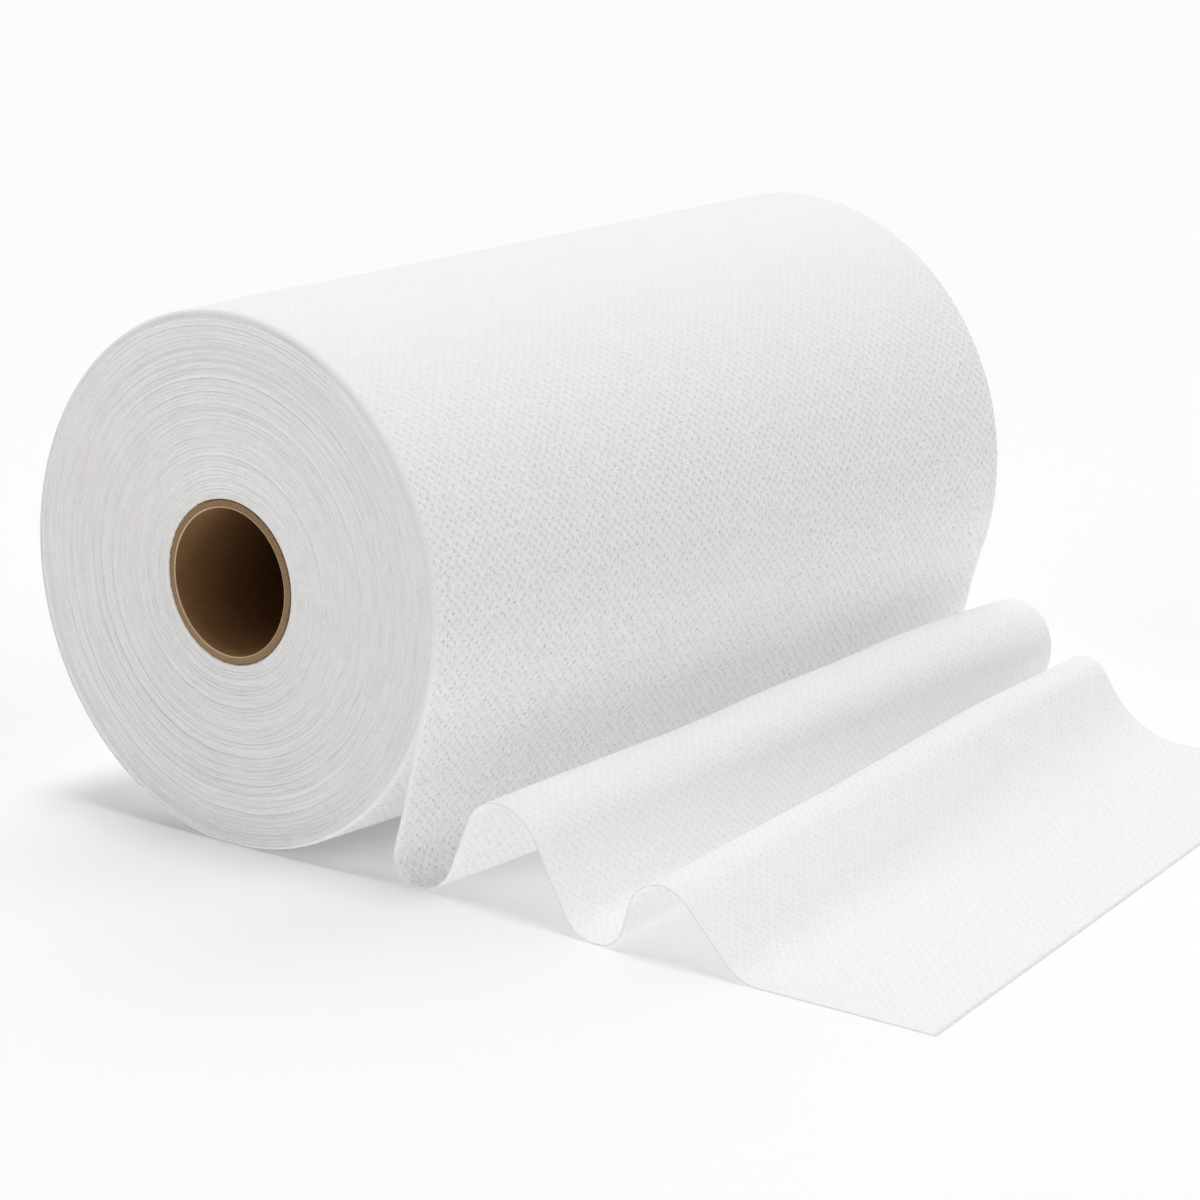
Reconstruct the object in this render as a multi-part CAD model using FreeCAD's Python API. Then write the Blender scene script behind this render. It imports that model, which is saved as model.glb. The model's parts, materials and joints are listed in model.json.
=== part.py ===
# Exam table paper roll: one long paper web wound on a paperboard core, lying on its
# side, with the free end of the web hanging off the roll and laid out in two waves.
#
# Frame: millimetres, origin at the centre of the core's bore halfway along the roll,
# +Y along the roll's axis, +X towards the cut end of the web, +Z up.

import FreeCAD
import Part
import math
import os

# ---- the roll ------------------------------------------------------------------------
WEB_WIDTH = 250.0            # width of the paper, and so the length of the roll
ROLL_RADIUS = 73.5           # outer radius of the wound paper
WEB_THICKNESS = 0.3          # bulk of the embossed two-ply paper
FLAT_SPOT_WIDTH = 16.0       # where the soft roll settles on the table

# ---- the core ------------------------------------------------------------------------
CORE_BORE_RADIUS = 20.25     # the hole that a dispenser's rod passes through
CORE_WALL = 2.25             # wound paperboard
WINDING_CLEARANCE = 0.0      # the first turn is wound tight on the core

# ---- the free end of the web ---------------------------------------------------------
DEPARTURE_ANGLE = -16.5      # degrees up from +X, where the web leaves the roll

# Distances along the table start where the web comes out of the bend at the foot of its
# hanging stretch. The cut is askew, so it is further out on the near edge of the web.
NEAR_END = 169.2
FAR_END = 120.0

# Corners of the free end after that bend, each one (distance, height above the resting
# web, bend radius). The waves close up towards the far edge of the web, so each edge has
# its own corners, which pair off one to one.
NEAR_FOOT_BEND = 8.8
NEAR_CORNERS = (
    (7.3, 0.0, 10.8),        # rise to the first crest
    (22.4, 29.6, 11.0),      # first crest, up side
    (36.5, 29.6, 11.0),      # first crest, down side
    (53.8, 0.0, 10.8),       # trough, down side
    (66.7, 0.0, 10.8),       # trough, up side
    (82.3, 25.7, 11.0),      # second crest
    (107.7, 0.0, 23.0),      # landing
)
FAR_FOOT_BEND = 6.0
FAR_CORNERS = (
    (5.5, 0.0, 6.0),
    (11.2, 32.6, 9.8),
    (30.4, 32.6, 9.8),
    (29.7, 0.0, 3.8),
    (37.1, 0.0, 3.8),
    (42.1, 28.4, 6.0),
    (62.9, 0.0, 40.0),
)

# ---- places that follow from the sizes above -----------------------------------------
CORE_RADIUS = CORE_BORE_RADIUS + CORE_WALL
PAPER_BORE_RADIUS = CORE_RADIUS + WINDING_CLEARANCE
NEAR_Y = -WEB_WIDTH / 2
FAR_Y = WEB_WIDTH / 2

# Below the departure the outermost turn is the one that leaves next, one web further in.
# So the flat spot's two ends are at different distances from the axis.
INNER_TURN_RADIUS = ROLL_RADIUS - WEB_THICKNESS
RADII_GAP = ROLL_RADIUS ** 2 - INNER_TURN_RADIUS ** 2
FLAT_LEFT = -(FLAT_SPOT_WIDTH + RADII_GAP / FLAT_SPOT_WIDTH) / 2
FLAT_RIGHT = FLAT_LEFT + FLAT_SPOT_WIDTH
TABLE_Z = -math.sqrt(ROLL_RADIUS ** 2 - FLAT_LEFT ** 2)
WEB_REST_Z = TABLE_Z + WEB_THICKNESS / 2
DEPARTURE = math.radians(DEPARTURE_ANGLE)
QUARTER_TURN = math.pi / 2


def step(point, heading, distance):
    """The (x, z) point a distance away from another, along a heading in the XZ plane."""
    x = point[0] + distance * math.cos(heading)
    z = point[1] + distance * math.sin(heading)
    return x, z


def on_circle(radius, angle):
    """The (x, z) point on a circle about the roll's axis."""
    return step((0.0, 0.0), angle, radius)


def heading_of(first, second):
    """The heading from one (x, z) point to another."""
    return math.atan2(second[1] - first[1], second[0] - first[0])


def line(first, last, y):
    """A straight edge between two (x, z) points at one y."""
    start = FreeCAD.Vector(first[0], y, first[1])
    end = FreeCAD.Vector(last[0], y, last[1])
    return Part.LineSegment(start, end).toShape()


def arc(first, middle, last, y):
    """An arc through three (x, z) points at one y."""
    points = [FreeCAD.Vector(x, y, z) for x, z in (first, middle, last)]
    return Part.Arc(*points).toShape()


def bend(before, corner, after, radius):
    """The bend that rounds a corner: (centre, radius, heading in, signed turn)."""
    heading_in = heading_of(before, corner)
    turn = heading_of(corner, after) - heading_in
    turn = math.remainder(turn, 2 * math.pi)
    side = math.copysign(1.0, turn)
    first = step(corner, heading_in, -radius * math.tan(abs(turn) / 2))
    centre = step(first, heading_in + side * QUARTER_TURN, radius)
    return centre, radius, heading_in, turn


def bend_points(one_bend, offset):
    """First, middle and last point of a bend, shifted to the left of the travel."""
    centre, radius, heading_in, turn = one_bend
    side = math.copysign(1.0, turn)
    points = []
    for share in (0.0, 0.5, 1.0):
        spoke = heading_in + share * turn - side * QUARTER_TURN
        points.append(step(centre, spoke, radius - side * offset))
    return points


def web_bends(foot_bend, corners, end):
    """The middle line of the free end: its first point, its bends and its last point."""
    start = on_circle(ROLL_RADIUS - WEB_THICKNESS / 2, DEPARTURE)
    drop = (start[1] - WEB_REST_Z) / math.cos(DEPARTURE)
    foot = step(start, DEPARTURE - QUARTER_TURN, drop)
    foot_bend_end = foot[0] + foot_bend * math.tan((QUARTER_TURN - DEPARTURE) / 2)
    route = [start, foot]
    radii = [foot_bend]
    for distance, height, radius in corners:
        route.append((foot_bend_end + distance, WEB_REST_Z + height))
        radii.append(radius)
    last = (foot_bend_end + end, WEB_REST_Z)
    route.append(last)
    bends = []
    for index, radius in enumerate(radii):
        before, corner, after = route[index:index + 3]
        bends.append(bend(before, corner, after, radius))
    return start, bends, last


def web_side(start, bends, last, offset, y):
    """Edges of one face of the web, a set distance to the left of its middle line."""
    heading_in = bends[0][2]
    here = step(start, heading_in + QUARTER_TURN, offset)
    edges = []
    for one_bend in bends:
        points = bend_points(one_bend, offset)
        edges.append(line(here, points[0], y))
        edges.append(arc(*points, y))
        here = points[2]
    there = step(last, QUARTER_TURN, offset)
    edges.append(line(here, there, y))
    return edges


def web_section(foot_bend, corners, end, y):
    """The closed section of the free end of the web at one y."""
    start, bends, last = web_bends(foot_bend, corners, end)
    half = WEB_THICKNESS / 2
    outer = web_side(start, bends, last, half, y)
    inner = web_side(start, bends, last, -half, y)
    first_cap = Part.LineSegment(inner[0].Vertexes[0].Point, outer[0].Vertexes[0].Point)
    last_cap = Part.LineSegment(outer[-1].Vertexes[1].Point, inner[-1].Vertexes[1].Point)
    edges = outer + [last_cap.toShape()] + inner[::-1] + [first_cap.toShape()]
    return Part.Wire(Part.__sortEdges__(edges))


def free_end():
    """The web from where it leaves the roll to its cut end, ruled from edge to edge."""
    near = web_section(NEAR_FOOT_BEND, NEAR_CORNERS, NEAR_END, NEAR_Y)
    far = web_section(FAR_FOOT_BEND, FAR_CORNERS, FAR_END, FAR_Y)
    return Part.makeLoft([near, far], True, True)


def wound_turns():
    """The wound paper: round, with its flat spot, and a step where the web leaves."""
    left = (FLAT_LEFT, TABLE_Z)
    right = (FLAT_RIGHT, TABLE_Z)
    left_angle = math.atan2(TABLE_Z, FLAT_LEFT) + 2 * math.pi
    right_angle = math.atan2(TABLE_Z, FLAT_RIGHT)
    leaving = on_circle(ROLL_RADIUS, DEPARTURE)
    over = on_circle(ROLL_RADIUS, (DEPARTURE + left_angle) / 2)
    under = on_circle(INNER_TURN_RADIUS, (right_angle + DEPARTURE) / 2)
    tucked = on_circle(INNER_TURN_RADIUS, DEPARTURE)
    edges = [
        arc(leaving, over, left, NEAR_Y),
        line(left, right, NEAR_Y),
        arc(right, under, tucked, NEAR_Y),
        line(tucked, leaving, NEAR_Y),
    ]
    outline = Part.Face(Part.Wire(edges))
    return outline.extrude(FreeCAD.Vector(0, WEB_WIDTH, 0))


def along_roll(radius):
    """A cylinder as long as the roll, on the roll's axis."""
    near_centre = FreeCAD.Vector(0, NEAR_Y, 0)
    return Part.makeCylinder(radius, WEB_WIDTH, near_centre, FreeCAD.Vector(0, 1, 0))


def paper_roll():
    """The whole paper web, wound and free, as the one piece that it is."""
    web = wound_turns().fuse(free_end())
    return web.cut(along_roll(PAPER_BORE_RADIUS)).removeSplitter()


def core_tube():
    """The paperboard tube, sawn to length together with the paper."""
    return along_roll(CORE_RADIUS).cut(along_roll(CORE_BORE_RADIUS))


def main():
    """Writes one STEP file for each piece."""
    os.makedirs("parts", exist_ok=True)
    pieces = {"paper_roll": paper_roll(), "core_tube": core_tube()}
    for name, shape in pieces.items():
        shape.exportStep(os.path.join("parts", name + ".step"))
        print(name, "volume", round(shape.Volume), "mm3, solids", len(shape.Solids))


main()
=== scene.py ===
"""Exam table paper roll: the wound paper, its free web and its paperboard core.

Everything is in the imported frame: metres, +Y along the roll's axis, +X towards the cut
end of the web and +Z up. MM turns sizes that are written in millimetres into metres.
"""

import json
import logging
import math
from dataclasses import dataclass, field
from enum import Enum
from typing import ClassVar

import bpy
import numpy as np
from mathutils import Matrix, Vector


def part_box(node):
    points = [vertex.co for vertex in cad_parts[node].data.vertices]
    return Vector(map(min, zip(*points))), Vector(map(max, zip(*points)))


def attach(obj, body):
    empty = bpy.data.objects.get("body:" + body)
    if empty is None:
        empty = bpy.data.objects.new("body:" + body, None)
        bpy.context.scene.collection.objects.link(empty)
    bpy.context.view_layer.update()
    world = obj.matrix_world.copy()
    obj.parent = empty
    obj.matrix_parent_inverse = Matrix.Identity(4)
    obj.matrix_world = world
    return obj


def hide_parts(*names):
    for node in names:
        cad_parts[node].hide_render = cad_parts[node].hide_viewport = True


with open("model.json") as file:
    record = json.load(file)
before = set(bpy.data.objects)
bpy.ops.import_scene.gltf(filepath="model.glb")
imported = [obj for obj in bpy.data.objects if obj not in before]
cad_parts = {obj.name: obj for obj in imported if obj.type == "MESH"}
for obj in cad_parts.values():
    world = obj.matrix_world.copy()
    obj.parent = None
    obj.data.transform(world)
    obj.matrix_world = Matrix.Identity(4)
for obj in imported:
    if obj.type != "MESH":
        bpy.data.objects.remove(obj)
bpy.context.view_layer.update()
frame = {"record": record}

MM = 0.001
QUARTER_TURN = math.pi / 2
FULL_TURN = 2 * math.pi
WEB_COORDINATES = "web"
OUTPUT_NODES = ("ShaderNodeOutputMaterial", "ShaderNodeOutputWorld")
NEARLY_NOTHING = 1e-6

log = logging.getLogger("paper_roll")

Point = tuple[float, float]
Colour = tuple[float, float, float, float]

AXIS: Point = (0.0, 0.0)
WHITE: Colour = (1.0, 1.0, 1.0, 1.0)


class Slot(Enum):
    """The record's material slots."""

    PAPER = "paper"
    CORE_BOARD = "core_board"


class End(Enum):
    """The roll's two ends, as the sign of their Y."""

    NEAR = -1
    FAR = 1


# ---- sizes and helpers that every piece shares ---------------------------------------


@dataclass(frozen=True)
class RollSizes:
    """The sizes that the pieces share, in metres.

    Departure is how far up from +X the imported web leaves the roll, in radians, and ply is
    how thick one ply of the core's board is.
    """

    outer_radius: float
    core_radius: float
    bore_radius: float
    half_width: float
    table_z: float
    web_thickness: float = 0.3 * MM
    departure: float = math.radians(-16.5)
    ply: float = 0.45 * MM

    @classmethod
    def from_frame(cls) -> "RollSizes":
        """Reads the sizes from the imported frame.

        Returns:
            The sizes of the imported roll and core.
        """
        paper_low, paper_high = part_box("paper_roll")
        core_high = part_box("core_tube")[1]
        bore = next(m for m in frame["record"]["mounts"] if m["name"] == "core_bore")
        return cls(
            outer_radius=paper_high.z,
            core_radius=core_high.x,
            bore_radius=bore["dims"]["r_mm"] * MM,
            half_width=paper_high.y,
            table_z=paper_low.z,
        )


@dataclass(frozen=True)
class Ripple:
    """A gentle, repeatable unevenness: a sum of waves over two coordinates.

    Each wave is (height, length along the first coordinate, length along the second,
    phase), with lengths in metres or radians, as the coordinates are.
    """

    waves: tuple[tuple[float, float, float, float], ...]
    lowest: ClassVar[float] = 0.35

    @classmethod
    def seeded(
        cls, seed: int, count: int, height: float, first: Point, second: Point
    ) -> "Ripple":
        """Draws waves at random.

        Args:
            seed: what makes the draw repeatable.
            count: how many waves are added up.
            height: the height of the longest wave; shorter ones are lower, but never
                less than the lowest share of it.
            first: the shortest and longest wave along the first coordinate.
            second: the same along the second coordinate.

        Returns:
            A ripple of that many waves.
        """
        draw = np.random.default_rng(seed)
        waves = []
        for _ in range(count):
            share = draw.random()
            length_1 = first[0] + share * (first[1] - first[0])
            length_2 = second[0] + draw.random() * (second[1] - second[0])
            lower = cls.lowest + (1 - cls.lowest) * share
            wave_height = height * lower * draw.choice((-1.0, 1.0))
            waves.append((wave_height, length_1, length_2, draw.random() * FULL_TURN))
        return cls(tuple(waves))

    def __call__(self, first: np.ndarray, second: np.ndarray) -> np.ndarray:
        """The unevenness at each pair of coordinates.

        Args:
            first: the first coordinate of each place.
            second: the second coordinate of each place.

        Returns:
            The height at each place.
        """
        total = 0.0
        for height, length_1, length_2, phase in self.waves:
            total = total + height * np.sin(
                FULL_TURN * (first / length_1 + second / length_2) + phase
            )
        return total


def smooth_step(low: float, high: float, value: np.ndarray) -> np.ndarray:
    """0 below low, 1 above high, and a smooth rise between them."""
    share = np.clip((value - low) / (high - low), 0.0, 1.0)
    return share * share * (3 - 2 * share)


def grid_faces(numbers: np.ndarray) -> np.ndarray:
    """The four corners of each face between the rows and columns of point numbers."""
    corners = (numbers[:-1, :-1], numbers[1:, :-1], numbers[1:, 1:], numbers[:-1, 1:])
    return np.stack(corners, axis=-1).reshape(-1, 4)


def make_piece(
    name: str, points: np.ndarray, faces: np.ndarray, flat_faces: int = 0
) -> bpy.types.Object:
    """Makes a mesh object and adds it to the scene.

    Args:
        name: the name of the piece.
        points: the corners, one row each.
        faces: the corner numbers of each face.
        flat_faces: how many faces at the end of the list are shaded flat.

    Returns:
        The new object, at the origin.
    """
    mesh = bpy.data.meshes.new(name)
    mesh.from_pydata(points.tolist(), [], faces.tolist())
    smooth = np.arange(len(faces)) < len(faces) - flat_faces
    mesh.polygons.foreach_set("use_smooth", smooth)
    mesh.update()
    piece = bpy.data.objects.new(name, mesh)
    bpy.context.scene.collection.objects.link(piece)
    return piece


def spoke_angles(spokes: int) -> np.ndarray:
    """The angles of evenly spread spokes about the roll's axis."""
    return np.arange(spokes) * FULL_TURN / spokes


def make_revolved(name: str, radii: np.ndarray, ys: np.ndarray) -> bpy.types.Object:
    """Makes a closed piece that goes round the roll's axis.

    Args:
        name: the name of the piece.
        radii: a row of radii, one for each spoke, for each point of the piece's section.
        ys: the Y of the same points.

    Returns:
        The new object, at the origin.
    """
    rows, spokes = radii.shape
    angle = spoke_angles(spokes)
    points = np.stack([radii * np.cos(angle), ys, radii * np.sin(angle)], axis=-1)
    numbers = np.arange(rows * spokes).reshape(rows, spokes)
    closed = np.pad(numbers, (0, 1), mode="wrap")
    return make_piece(name, points.reshape(-1, 3), grid_faces(closed.T))


# ---- the course of the web -----------------------------------------------------------


@dataclass(frozen=True)
class Straight:
    """A straight stretch of the web's middle line, in the XZ plane."""

    first: Point
    last: Point

    @property
    def length(self) -> float:
        """How long the stretch is."""
        return math.dist(self.first, self.last)

    @property
    def turn(self) -> float:
        """How far the stretch turns."""
        return 0.0

    def places(self, shares: np.ndarray) -> np.ndarray:
        """Places along the stretch.

        Args:
            shares: how far along the stretch each place is, from 0 to 1.

        Returns:
            A row of (x, z, heading) for each share.
        """
        heading = heading_of(self.first, self.last)
        x = self.first[0] + shares * (self.last[0] - self.first[0])
        z = self.first[1] + shares * (self.last[1] - self.first[1])
        return np.stack([x, z, np.full_like(shares, heading)], axis=-1)


@dataclass(frozen=True)
class Arc:
    """An arc of the web's middle line. A positive turn is to the left."""

    centre: Point
    radius: float
    start: float
    turn: float

    @property
    def length(self) -> float:
        """How long the arc is."""
        return self.radius * abs(self.turn)

    def places(self, shares: np.ndarray) -> np.ndarray:
        """Places along the arc.

        Args:
            shares: how far along the arc each place is, from 0 to 1.

        Returns:
            A row of (x, z, heading) for each share.
        """
        spoke = self.start + shares * self.turn
        x = self.centre[0] + self.radius * np.cos(spoke)
        z = self.centre[1] + self.radius * np.sin(spoke)
        return np.stack([x, z, spoke + math.copysign(QUARTER_TURN, self.turn)], axis=-1)


Stretch = Straight | Arc


def heading_of(first: Point, second: Point) -> float:
    """The heading from one (x, z) point to another."""
    return math.atan2(second[1] - first[1], second[0] - first[0])


def step(point: Point, heading: float, distance: float) -> Point:
    """The point a distance away from another along a heading."""
    return point[0] + distance * math.cos(heading), point[1] + distance * math.sin(heading)


def rounded(route: list[Point], radii: list[float]) -> list[Stretch]:
    """Straight runs and the bends that round the corners between them.

    Args:
        route: the first point, the corners and the last point.
        radii: one bend radius for each corner.

    Returns:
        Runs and bends by turns, from the first point to the last.
    """
    stretches: list[Stretch] = []
    here = route[0]
    for index, radius in enumerate(radii):
        before, corner, after = route[index:index + 3]
        heading = heading_of(before, corner)
        turn = math.remainder(heading_of(corner, after) - heading, FULL_TURN)
        spoke = math.copysign(QUARTER_TURN, turn)
        first = step(corner, heading, -radius * math.tan(abs(turn) / 2))
        bend = Arc(step(first, heading + spoke, radius), radius, heading - spoke, turn)
        stretches += [Straight(here, first), bend]
        here = step(bend.centre, bend.start + turn, radius)
    stretches.append(Straight(here, route[-1]))
    return stretches


@dataclass(frozen=True)
class EdgeOutline:
    """How one edge of the free web lies, in millimetres and degrees.

    Departure is how far up from +X it leaves the roll. Each corner is (distance from where
    the web comes out of the bend at its foot, height above the resting web, bend radius).
    """

    departure: float
    foot_bend: float
    corners: tuple[tuple[float, float, float], ...]
    end: float


NEAR_OUTLINE = EdgeOutline(
    departure=-17.9,
    foot_bend=6.9,
    corners=(
        (9.5, 0.0, 13.7),
        (23.2, 28.9, 11.8),
        (39.7, 28.9, 16.1),
        (59.4, 0.0, 11.8),
        (73.8, 0.0, 9.2),
        (84.2, 29.4, 11.2),
        (113.2, 0.0, 14.9),
    ),
    end=173.3,
)
FAR_OUTLINE = EdgeOutline(
    departure=-20.5,
    foot_bend=5.1,
    corners=(
        (8.4, 0.0, 6.0),
        (9.4, 32.5, 12.5),
        (37.4, 32.5, 12.9),
        (31.8, 0.0, 2.8),
        (38.0, 0.0, 2.8),
        (45.5, 34.7, 8.6),
        (67.1, 0.0, 30.6),
    ),
    end=124.5,
)


@dataclass(frozen=True)
class SoftRim:
    """How the outermost turns round over at the roll's ends, as soft paper does.

    The rounding is a quarter of an ellipse, so long along the roll and so far inwards.
    """

    along: float = 1.6 * MM
    drop: float = 0.9 * MM
    steps: int = 6
    fine_steps: int = 200

    def angles(self) -> np.ndarray:
        """Angles round the ellipse, from the very edge to where the rounding starts."""
        return np.linspace(QUARTER_TURN, 0.0, self.steps + 1)

    def distance_from_edge(self, angle: np.ndarray) -> np.ndarray:
        """How far along the paper each angle is from the edge of the web.

        Args:
            angle: angles round the ellipse.

        Returns:
            The distance round the ellipse for each angle.
        """
        fine = np.linspace(0.0, QUARTER_TURN, self.fine_steps)
        speed = np.hypot(self.along * np.cos(fine), self.drop * np.sin(fine))
        length = np.concatenate([[0.0], np.cumsum((speed[1:] + speed[:-1]) / 2)])
        length *= fine[1] - fine[0]
        return length[-1] - np.interp(angle, fine, length)

    @property
    def whole(self) -> float:
        """How much of the web's width goes round the rim."""
        return float(self.distance_from_edge(np.array([0.0]))[0])

    def place(self, angle: np.ndarray, outwards: float) -> tuple[np.ndarray, np.ndarray]:
        """Where the paper is at each angle.

        Args:
            angle: angles round the ellipse.
            outwards: how far outside the paper's middle the point is.

        Returns:
            The distance from the roll's end, and the distance inwards from the turn's
            own radius.
        """
        recess = self.whole - self.along
        along_normal = np.sin(angle) / self.along
        radial_normal = np.cos(angle) / self.drop
        length = np.hypot(along_normal, radial_normal)
        inland = recess + self.along * (1 - np.sin(angle)) - outwards * along_normal / length
        inwards = self.drop * (1 - np.cos(angle)) - outwards * radial_normal / length
        return inland, inwards


# ---- shader tools --------------------------------------------------------------------


class Shader:
    """Adds nodes to one node tree and joins them."""

    def __init__(self, tree: bpy.types.NodeTree) -> None:
        """Keeps the tree that the nodes go into."""
        self.tree = tree

    def node(self, kind: str, **settings: object) -> bpy.types.Node:
        """Adds a node.

        Args:
            kind: the node's type.
            settings: its own properties, such as operation.

        Returns:
            The new node.
        """
        made = self.tree.nodes.new(kind)
        for name, value in settings.items():
            setattr(made, name, value)
        return made

    def join(self, value: object, socket: bpy.types.NodeSocket) -> None:
        """Joins or sets an input.

        Args:
            value: an output socket or a plain value.
            socket: the input.
        """
        if isinstance(value, bpy.types.NodeSocket):
            self.tree.links.new(value, socket)
        else:
            socket.default_value = value

    def feed(self, node: bpy.types.Node, **inputs: object) -> bpy.types.Node:
        """Joins or sets a node's inputs by name.

        Args:
            node: the node.
            inputs: an output socket or a value for each input, with _ for a space.

        Returns:
            The same node.
        """
        for name, value in inputs.items():
            self.join(value, node.inputs[name.replace("_", " ")])
        return node

    def fill(self, node: bpy.types.Node, *values: object) -> bpy.types.Node:
        """Joins or sets a node's inputs in order.

        Args:
            node: the node.
            values: an output socket or a value for each of its first inputs.

        Returns:
            The same node.
        """
        for value, socket in zip(values, node.inputs):
            self.join(value, socket)
        return node

    def math(self, operation: str, *values: object) -> bpy.types.NodeSocket:
        """The result of a Math node on one or two values."""
        made = self.node("ShaderNodeMath", operation=operation)
        return self.fill(made, *values).outputs[0]

    def plus(self, first: object, second: object) -> bpy.types.NodeSocket:
        """One value plus another."""
        return self.math("ADD", first, second)

    def minus(self, first: object, second: object) -> bpy.types.NodeSocket:
        """One value less another."""
        return self.math("SUBTRACT", first, second)

    def times(self, first: object, second: object) -> bpy.types.NodeSocket:
        """One value times another."""
        return self.math("MULTIPLY", first, second)

    def larger(self, first: object, second: object) -> bpy.types.NodeSocket:
        """The larger of two values."""
        return self.math("MAXIMUM", first, second)

    def vector(self, operation: str, *values: object) -> bpy.types.NodeSocket:
        """The result of a Vector Math node on one or two vectors."""
        made = self.fill(self.node("ShaderNodeVectorMath", operation=operation), *values)
        return made.outputs["Value" if operation == "LENGTH" else "Vector"]

    def scaled(self, vector: object, by: object) -> bpy.types.NodeSocket:
        """A vector times a number."""
        made = self.node("ShaderNodeVectorMath", operation="SCALE")
        return self.feed(made, Vector=vector, Scale=by).outputs["Vector"]

    def parts(self, vector: object) -> bpy.types.NodeOutputs:
        """The three parts of a vector."""
        return self.fill(self.node("ShaderNodeSeparateXYZ"), vector).outputs

    def across_axis(self, place: object) -> bpy.types.NodeSocket:
        """A place without its Y, so from the roll's axis straight outwards."""
        x, _, z = self.parts(place)
        return self.fill(self.node("ShaderNodeCombineXYZ"), x, z).outputs[0]

    def rise(self, value: object, low: object, high: object) -> bpy.types.NodeSocket:
        """0 below low, 1 above high, and a smooth rise between them."""
        made = self.node("ShaderNodeMapRange", interpolation_type="SMOOTHSTEP")
        return self.feed(made, Value=value, From_Min=low, From_Max=high).outputs["Result"]

    def between(self, value: object, low: object, high: object) -> bpy.types.NodeSocket:
        """A value from 0 to 1 spread over a new range."""
        made = self.node("ShaderNodeMapRange")
        return self.feed(made, Value=value, To_Min=low, To_Max=high).outputs["Result"]

    def noise(self, vector: object, scale: float, detail: float) -> bpy.types.NodeSocket:
        """Noise from 0 to 1 over a vector."""
        made = self.node("ShaderNodeTexNoise")
        return self.feed(made, Vector=vector, Scale=scale, Detail=detail).outputs[0]

    def mixed(
        self, kind: str, share: object, first: object, second: object
    ) -> bpy.types.NodeSocket:
        """The result of a Mix node on two colours.

        Args:
            kind: how the colours are mixed.
            share: how much of the mixing shows, from 0 to 1.
            first: the first colour.
            second: the second colour.

        Returns:
            The mixed colour.
        """
        made = self.node("ShaderNodeMix", data_type="RGBA", blend_type=kind)
        inputs = {socket.identifier: socket for socket in made.inputs}
        self.join(share, inputs["Factor_Float"])
        self.join(first, inputs["A_Color"])
        self.join(second, inputs["B_Color"])
        return next(socket for socket in made.outputs if socket.identifier == "Result_Color")

    def blend(self, share: object, first: object, second: object) -> bpy.types.NodeSocket:
        """A colour part of the way from one colour to another."""
        return self.mixed("MIX", share, first, second)

    def shaded(self, colour: object, shade: object) -> bpy.types.NodeSocket:
        """A colour times a grey."""
        grey = self.fill(self.node("ShaderNodeCombineColor"), shade, shade, shade)
        return self.mixed("MULTIPLY", 1.0, colour, grey.outputs[0])

    def bump(self, height: object) -> bpy.types.NodeSocket:
        """The normal of a surface with a height in metres."""
        made = self.node("ShaderNodeBump")
        return self.feed(made, Strength=1.0, Distance=1.0, Height=height).outputs[0]

    def either(self, share: object, first: object, second: object) -> bpy.types.NodeSocket:
        """One surface where the share is 0, another where it is 1, and both between."""
        return self.fill(self.node("ShaderNodeMixShader"), share, first, second).outputs[0]

    def show(self, surface: bpy.types.NodeSocket) -> None:
        """Makes a surface the tree's own."""
        output = next(node for node in self.tree.nodes if node.bl_idname in OUTPUT_NODES)
        self.join(surface, output.inputs["Surface"])

    def group(self, tree: bpy.types.NodeTree, **inputs: object) -> bpy.types.Node:
        """Places a node group and joins its inputs."""
        made = self.node("ShaderNodeGroup", node_tree=tree)
        return self.feed(made, **inputs)


class GroupMaker:
    """Builds one shader node group with named inputs and outputs."""

    def __init__(self, name: str) -> None:
        """Starts an empty group.

        Args:
            name: the group's name.
        """
        self.tree = bpy.data.node_groups.new(name, "ShaderNodeTree")
        self.shader = Shader(self.tree)
        self.entry = self.tree.nodes.new("NodeGroupInput")
        self.exit = self.tree.nodes.new("NodeGroupOutput")

    def socket(self, name: str, way: str, kind: str) -> bpy.types.NodeTreeInterfaceSocket:
        """Adds an input or an output to the group."""
        return self.tree.interface.new_socket(name, in_out=way, socket_type="NodeSocket" + kind)

    def vector(self, name: str) -> bpy.types.NodeSocket:
        """Adds a vector input."""
        self.socket(name, "INPUT", "Vector")
        return self.entry.outputs[name]

    def number(self, name: str, value: float) -> bpy.types.NodeSocket:
        """Adds a number input with its usual value."""
        self.socket(name, "INPUT", "Float").default_value = value
        return self.entry.outputs[name]

    def give(self, name: str, value: bpy.types.NodeSocket) -> None:
        """Adds a number output and joins a value to it."""
        self.socket(name, "OUTPUT", "Float")
        self.tree.links.new(value, self.exit.inputs[name])


@dataclass(frozen=True)
class Embossing:
    """The embossing's sizes, in metres, or in pitches where they are part of a cell.

    The lattice strays a little from straight. Each of its cells has a pit in its middle and
    a raised pillow round the pit, and fine crumbs crumple the paper all over.
    """

    pitch: float = 2.26 * MM
    jitter: float = 0.34
    lattice_angle: float = math.radians(45)
    stray: float = 1.0 * MM
    strays_in_a_metre: float = 300.0
    pit_floor: float = 0.05
    pit_reach: Point = (0.22, 0.32)
    pit_depth: Point = (0.5, 1.0)
    pillow: Point = (0.2, 0.65)
    pillow_height: float = 0.4
    # Painted light: how much lighter the raised pillows are painted.
    pillow_painted_light: float = 0.45
    crumb: float = 0.55 * MM
    crumple: float = 2.2


@dataclass(frozen=True)
class RingNoise:
    """Noise that follows the turns: how fast it changes round the roll and across turns."""

    around: float
    across: float
    detail: float = 2.0


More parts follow.
